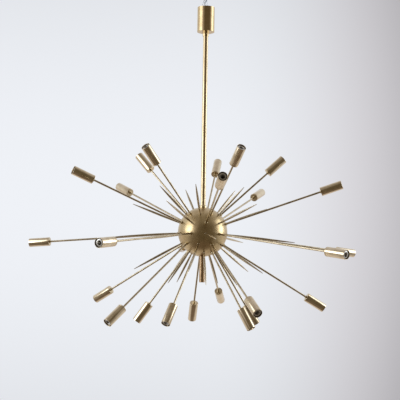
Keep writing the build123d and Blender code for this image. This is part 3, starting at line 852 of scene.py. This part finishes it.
# Top of the stem: a zinc plated plug whose flat lug takes the hanging wire, and the terminal block
# that the supply lead comes out to, both inside the canopy.

dress(ZINC_PLATE, "stem_eye")
dress(INSULATOR, "supply_terminal")


# Hanging wire: one length of galvanised steel wire through the lug, its two legs twisted together
# under the eye that the lamp hangs by, with both ends left loose on the left.

WIRE_GREY = (0.86, 0.91, 0.96)
WIRE_DULL = (0.60, 0.65, 0.70)
WIRE_RADIUS = 0.001
WIRE_EYE_RADIUS = 0.0045
WIRE_LEG_OFFSET = 0.0035
WIRE_LEG_TOP = -0.023
WIRE_NECK = (-0.0165, -0.0075)
WIRE_TWISTS = 1.5
TWIST_STEPS = 14
WIRE_TAILS = ((-0.0130, -0.0290), (-0.0060, -0.0280))  # where each loose end points to, across and up


def wire(name, points):
    """A round wire along a smooth line through the points, as a mesh."""
    curve = bpy.data.curves.new(name, "CURVE")
    curve.dimensions = "3D"
    curve.bevel_depth = WIRE_RADIUS
    curve.bevel_resolution = 4
    curve.use_fill_caps = True
    curve.resolution_u = 4
    spline = curve.splines.new("NURBS")
    spline.points.add(len(points) - 1)
    for point, place in zip(spline.points, points):
        point.co = (*place, 1)
    spline.order_u = 3
    spline.use_endpoint_u = True
    drawn = bpy.data.objects.new(name, curve)
    bpy.context.collection.objects.link(drawn)
    mesh = bpy.data.meshes.new_from_object(drawn.evaluated_get(bpy.context.evaluated_depsgraph_get()))
    bpy.data.objects.remove(drawn)
    return mesh


def twist(start, down):
    """One strand of the neck, from that angle in degrees at its lower end."""
    low, high = WIRE_NECK
    points = []
    for step in range(TWIST_STEPS + 1):
        share = step / TWIST_STEPS
        turn = radians(start) + share * WIRE_TWISTS * 2 * pi
        points.append((WIRE_RADIUS * cos(turn), WIRE_RADIUS * sin(turn), low + share * (high - low)))
    return points[::-1] if down else points


def wire_points():
    """The wire from one loose end, down a leg, through the lug, up the other, round the eye and out."""
    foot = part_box("hanging_wire")[0].z + WIRE_RADIUS
    low, high = WIRE_NECK
    leg = WIRE_LEG_OFFSET
    first, second = WIRE_TAILS
    bend = [radians(turn) for turn in range(0, 181, 20)]
    bend = [(-leg * cos(turn), 0, foot + leg - leg * sin(turn)) for turn in bend]
    eye = [radians(turn) for turn in range(150, -151, -15)]
    eye = [(-WIRE_EYE_RADIUS * sin(turn), 0, WIRE_EYE_RADIUS * cos(turn)) for turn in eye]
    return (
        [(first[0], -0.001, first[1]), (first[0] * 0.85, -0.002, first[1] + 0.006)]
        + [(-0.005, -0.003, high - 0.002), (-0.0005, -0.0032, high - 0.004), (0.003, -0.001, low + 0.004)]
        + [(0.0015, 0.003, low + 0.002), (-0.0025, 0.0018, low), (-leg, 0, WIRE_LEG_TOP)]
        + bend
        + [(leg, 0, WIRE_LEG_TOP)]
        + twist(0, False)
        + eye
        + twist(180, True)
        + [(0.0028, 0.001, low - 0.001), (0.001, 0.003, low + 0.001), (-0.003, 0.001, low + 0.001)]
        + [(-0.0055, -0.001, low - 0.003), (second[0], -0.001, second[1])]
    )


GALVANISED = plated("galvanised_wire", WIRE_GREY, WIRE_DULL, roughness=(0.3, 0.45), grain=0.0004)
wire_mesh = wire("hanging_loop", wire_points())
wire_mesh.materials.clear()
wire_mesh.materials.append(GALVANISED)
hanging_loop = bpy.data.objects.new("hanging_loop", wire_mesh)
bpy.context.collection.objects.link(hanging_loop)
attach(hanging_loop, "hanger")
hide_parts("hanging_wire")


# Studio: a pale floor far below, two softboxes that the camera doesn't see, a room whose pale back wall and
# dark front show in the brass, a backdrop with painted light on it, and a camera a little below the ball.

FLOOR_HEIGHT = -2.6
FLOOR_RADIUS = 7.0
FLOOR_SIDES = 64
FLOOR_COLOUR = (0.80, 0.79, 0.78)
SOFTBOX_COLOUR = (0.93, 1.0, 1.08)
SOFTBOXES = (
    # name, width, height, radiance, place; each middle is a hotter patch in front of its softbox
    ("left_softbox", 1.45, 1.65, 1.5, (-1.88, -0.66, -0.10)),
    ("left_middle", 1.2, 0.95, 1.4, (-1.76, -0.83, -0.44)),
    ("right_softbox", 1.25, 1.65, 1.5, (1.99, 0.20, -0.10)),
    ("right_middle", 1.1, 0.95, 1.4, (1.95, 0.04, -0.44)),
)
FRONT = (0.135, 0.11, 0.072)
SIDE_WALL = (0.50, 0.46, 0.44)
BACK_WALL = (0.82, 0.84, 0.88)
DARK_WALL = (0.22, 0.19, 0.15)
LEFT_FLOOR = (0.72, 0.68, 0.66)
FRONT_CEILING = (0.31, 0.28, 0.24)
BACK_CEILING = (0.60, 0.58, 0.60)
FRONT_FLOOR = (0.19, 0.145, 0.11)
BACK_FLOOR = (0.72, 0.66, 0.62)
UNSEEN_ROOM = (0.55, 0.55, 0.56)  # what the room adds to surfaces that scatter light
BACKDROP_LEFT = (0.975, 1.0, 1.05)
BACKDROP_RIGHT = (1.01, 0.985, 1.03)
# The backdrop's level, least, peak and falls set its painted light: brightest at the peak's height on the
# left, darker above and below it and towards the right.
BACKDROP_LEVEL = 0.885
BACKDROP_LEAST = 0.40
BACKDROP_PEAK = 0.058  # how high it is brightest
BACKDROP_FALL_ACROSS = 8.2
BACKDROP_FALL_UP = 2.3
PHOTO_SIDE = 400
FOCAL_PIXELS = 958.9
SENSOR = 36.0
TILT = radians(-3.35)
ROLL = radians(-0.9)
BALL_FROM_CAMERA = Vector((0.0085, -0.1024, -3.0685))

floor = bpy.data.objects.new("floor", bpy.data.meshes.new("floor"))
rim = [2 * pi * n / FLOOR_SIDES for n in range(FLOOR_SIDES)]
rim = [(FLOOR_RADIUS * cos(turn), FLOOR_RADIUS * sin(turn), FLOOR_HEIGHT) for turn in rim]
floor.data.from_pydata(rim, [], [range(FLOOR_SIDES)])
bpy.context.collection.objects.link(floor)
material, tree = new_material("floor_paint")
x, y, z = tree.parts(tree.node("ShaderNodeTexCoord", output="Object"))
fade = tree.vector("LENGTH", tree.joined(x, y, 0.0)).rise(FLOOR_RADIUS * 0.4, FLOOR_RADIUS * 0.98)
painted = tree.node("ShaderNodeBsdfDiffuse", values={"Color": (*FLOOR_COLOUR, 1)})
clear = tree.node("ShaderNodeBsdfTransparent")
faded = tree.node("ShaderNodeMixShader", values={0: fade, 1: painted, 2: clear})
tree.node("ShaderNodeOutputMaterial", values={"Surface": faded})
floor.data.materials.append(material)
floor.visible_glossy = False
floor.visible_transmission = False

for name, width, height, radiance, place in SOFTBOXES:
    light = bpy.data.lights.new(name, "AREA")
    light.shape = "RECTANGLE"
    light.size, light.size_y = width, height
    light.color = SOFTBOX_COLOUR
    light.energy = radiance * pi * width * height
    softbox = bpy.data.objects.new(name, light)
    softbox.location = place
    softbox.rotation_mode = "QUATERNION"
    softbox.rotation_quaternion = (BALL_CENTRE - softbox.location).to_track_quat("-Z", "Y")
    softbox.visible_camera = False
    bpy.context.collection.objects.link(softbox)

world = bpy.data.worlds.new("studio")
world.use_nodes = True
bpy.context.scene.world = world
tree = Tree(world.node_tree)
x, y, z = tree.parts(tree.node("ShaderNodeTexCoord", output="Generated"))
camera_ray = tree.node("ShaderNodeLightPath", output="Is Camera Ray")
glossy_ray = tree.node("ShaderNodeLightPath", output="Is Glossy Ray")
transmission_ray = tree.node("ShaderNodeLightPath", output="Is Transmission Ray")

# Painted light on the backdrop: it darkens towards the right and away from the peak's height, down to the
# least level.
right = x.math("MAXIMUM", 0.0)
across = right * right * BACKDROP_FALL_ACROSS
upward = (z - BACKDROP_PEAK) * (z - BACKDROP_PEAK) * BACKDROP_FALL_UP
level = (BACKDROP_LEVEL - across - upward).math("MAXIMUM", BACKDROP_LEAST)
backdrop = tree.mix(right.rise(0.05, 0.2), BACKDROP_LEFT, BACKDROP_RIGHT)
backdrop = tree.vector("MULTIPLY", backdrop, tree.joined(level, level, level))

bearing = x.math("ARCTAN2", y * -1) * (180 / pi)
behind = y.rise(-0.25, 0.35)
below = z.rise(0.12, -0.12)
upper_wall = tree.mix(behind, SIDE_WALL, BACK_WALL)
lower_wall = tree.mix(bearing.rise(150, 40), BACK_WALL, DARK_WALL)
lower_wall = tree.mix(bearing.rise(60, 178), lower_wall, BACK_FLOOR)
lower_wall = tree.mix(bearing.rise(-50, -115), lower_wall, LEFT_FLOOR)
room = tree.mix(below, upper_wall, lower_wall)
front = bearing.rise(-42, -14) * bearing.rise(72, 48)
room = tree.mix(front, room, FRONT)
ceiling = tree.mix(behind, FRONT_CEILING, BACK_CEILING)
room = tree.mix(z.rise(0.38, 0.95), room, ceiling)
floor_seen = tree.mix(y.rise(-0.1, 0.4), FRONT_FLOOR, BACK_FLOOR)
room = tree.mix(z.rise(-0.55, -0.85), room, floor_seen)
unseen = tree.mix(glossy_ray.math("MAXIMUM", transmission_ray), UNSEEN_ROOM, room)
sky = tree.mix(camera_ray, unseen, backdrop)
shader = tree.node("ShaderNodeBackground", values={"Color": sky, "Strength": 1.0})
tree.node("ShaderNodeOutputWorld", values={"Surface": shader})

camera = bpy.data.objects.new("camera", bpy.data.cameras.new("camera"))
camera.data.sensor_width = SENSOR
camera.data.lens = SENSOR * FOCAL_PIXELS / PHOTO_SIDE
upright = Matrix(((1, 0, 0), (0, 0, -1), (0, 1, 0)))
turn = upright @ (Matrix.Rotation(ROLL, 3, "Z") @ Matrix.Rotation(TILT, 3, "X")).transposed()
camera.matrix_world = Matrix.Translation(BALL_CENTRE - turn @ BALL_FROM_CAMERA) @ turn.to_4x4()
bpy.context.collection.objects.link(camera)
bpy.context.scene.camera = camera
bpy.context.scene.view_settings.view_transform = "Standard"

import json
